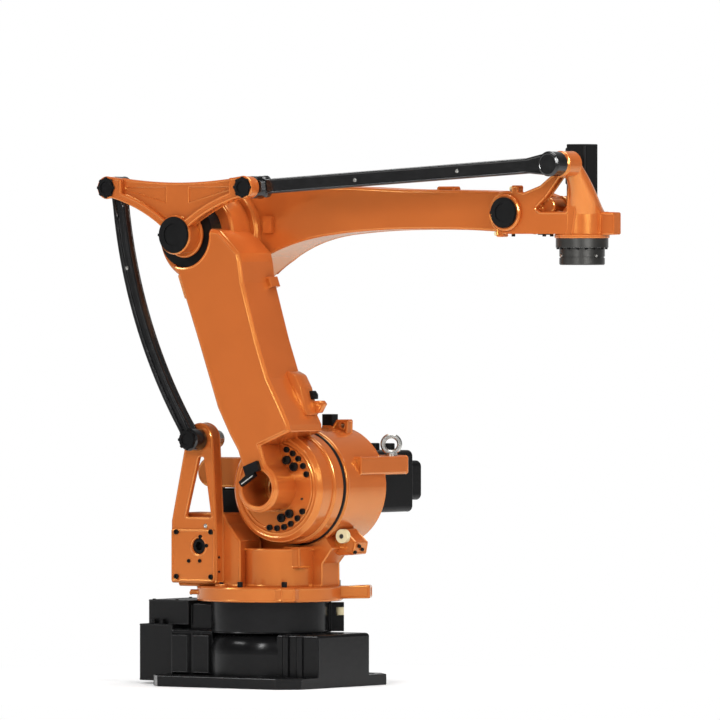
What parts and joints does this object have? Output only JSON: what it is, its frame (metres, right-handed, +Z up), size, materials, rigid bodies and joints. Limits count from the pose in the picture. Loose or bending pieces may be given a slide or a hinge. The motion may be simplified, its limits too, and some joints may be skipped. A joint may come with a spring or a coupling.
{
  "type": "industrial palletising robot arm",
  "caption": "Floor-standing palletising robot arm with a turning column, leaning link arm, forearm and a tool flange kept level by a bell crank and parallel rods.",
  "frame": {"origin": "on the floor under the base plate, at the turning axis", "axes": "+X along the reach of the arm, +Z up, the rods run on the -Y side"},
  "size_m": [2.4381, 1.173, 2.3177],
  "materials": {
    "orange_paint": "glossy orange machine paint over castings",
    "base_black": "satin black paint on the base casting",
    "rod_black": "glossy black paint",
    "cap_black": "matte black moulded covers",
    "motor_black": "black anodised motor housings",
    "steel_dark": "dark machined steel",
    "steel_bright": "bright zinc-plated steel",
    "cream_plastic": "cream plastic"
  },
  "bodies": {
    "base": {"base_casting": "base_black", "connection_box": "base_black", "terminal_box": "base_black", "supply_sockets": "cap_black", "turn_sensor": "cap_black", "sensor_tip": "cream_plastic"},
    "column": {"turntable": "orange_paint", "column_casting": "orange_paint", "shoulder_gear_ring": "cap_black", "lifting_eye": "steel_bright", "shoulder_motor": "motor_black", "shoulder_motor_end": "motor_black", "turn_motor": "motor_black", "rod_bracket": "orange_paint", "rod_foot_pin": "steel_bright", "rod_foot_cap": "cap_black", "stop_buffer": "cream_plastic", "housing_connector": "cap_black"},
    "link": {"link_arm": "orange_paint", "elbow_seal": "cap_black", "hub_sensor": "cap_black"},
    "crank": {"bell_crank": "orange_paint", "elbow_shaft": "steel_dark", "crank_hub_cap": "cap_black", "crank_front_cap": "cap_black", "crank_rear_cap": "cap_black", "crank_front_pin": "steel_dark", "crank_rear_pin": "steel_dark"},
    "rear_rod": {"rear_rod": "rod_black"},
    "upper_rod": {"upper_rod": "rod_black"},
    "arm": {"forearm": "orange_paint", "elbow_motor": "motor_black"},
    "wrist": {"wrist_casting": "orange_paint", "wrist_pin": "steel_dark", "wrist_near_cap": "cap_black", "rod_head_pin": "steel_dark", "tool_motor": "motor_black", "tool_gear_ring": "steel_dark", "tool_motor_socket": "motor_black", "wrist_upper_buffer": "cream_plastic", "wrist_lower_buffer": "cream_plastic"},
    "tool": {"tool_flange": "steel_dark"}
  },
  "joints": [
    {"name": "a1_turn", "type": "hinge", "parent": "base", "child": "column", "pos_m": [0, 0, 0.365], "axis": [0, 0, 1], "range_deg": [-185, 185]},
    {"name": "a2_swing", "type": "hinge", "parent": "column", "child": "link", "pos_m": [0.17, 0, 0.855], "axis": [0, 1, 0], "range_deg": [-15, 95]},
    {"name": "crank_level", "type": "hinge", "parent": "link", "child": "crank", "pos_m": [-0.22332, 0, 1.93565], "axis": [0, 1, 0], "range_deg": [-95, 15]},
    {"name": "rear_rod_swing", "type": "hinge", "parent": "column", "child": "rear_rod", "pos_m": [-0.193, -0.294, 1.058], "axis": [0, 1, 0], "range_deg": [-15, 95]},
    {"name": "a3_lift", "type": "hinge", "parent": "crank", "child": "arm", "pos_m": [-0.22332, 0, 1.93565], "axis": [0, 1, 0], "range_deg": [-20, 35]},
    {"name": "upper_rod_swing", "type": "hinge", "parent": "crank", "child": "upper_rod", "pos_m": [0.13968, -0.294, 2.13865], "axis": [0, 1, 0], "range_deg": [-20, 35]},
    {"name": "wrist_level", "type": "hinge", "parent": "arm", "child": "wrist", "pos_m": [1.3138, 0, 2.02966], "axis": [0, 1, 0], "range_deg": [-35, 20]},
    {"name": "tool_turn", "type": "hinge", "parent": "wrist", "child": "tool", "pos_m": [1.6238, 0, 1.85], "axis": [0, 0, 1], "range_deg": [-350, 350]}
  ],
  "couplings": [
    {"joint": "crank_level", "follows": "a2_swing", "ratio": -1},
    {"joint": "rear_rod_swing", "follows": "a2_swing", "ratio": 1},
    {"joint": "upper_rod_swing", "follows": "a3_lift", "ratio": 1},
    {"joint": "wrist_level", "follows": "a3_lift", "ratio": -1}
  ]
}
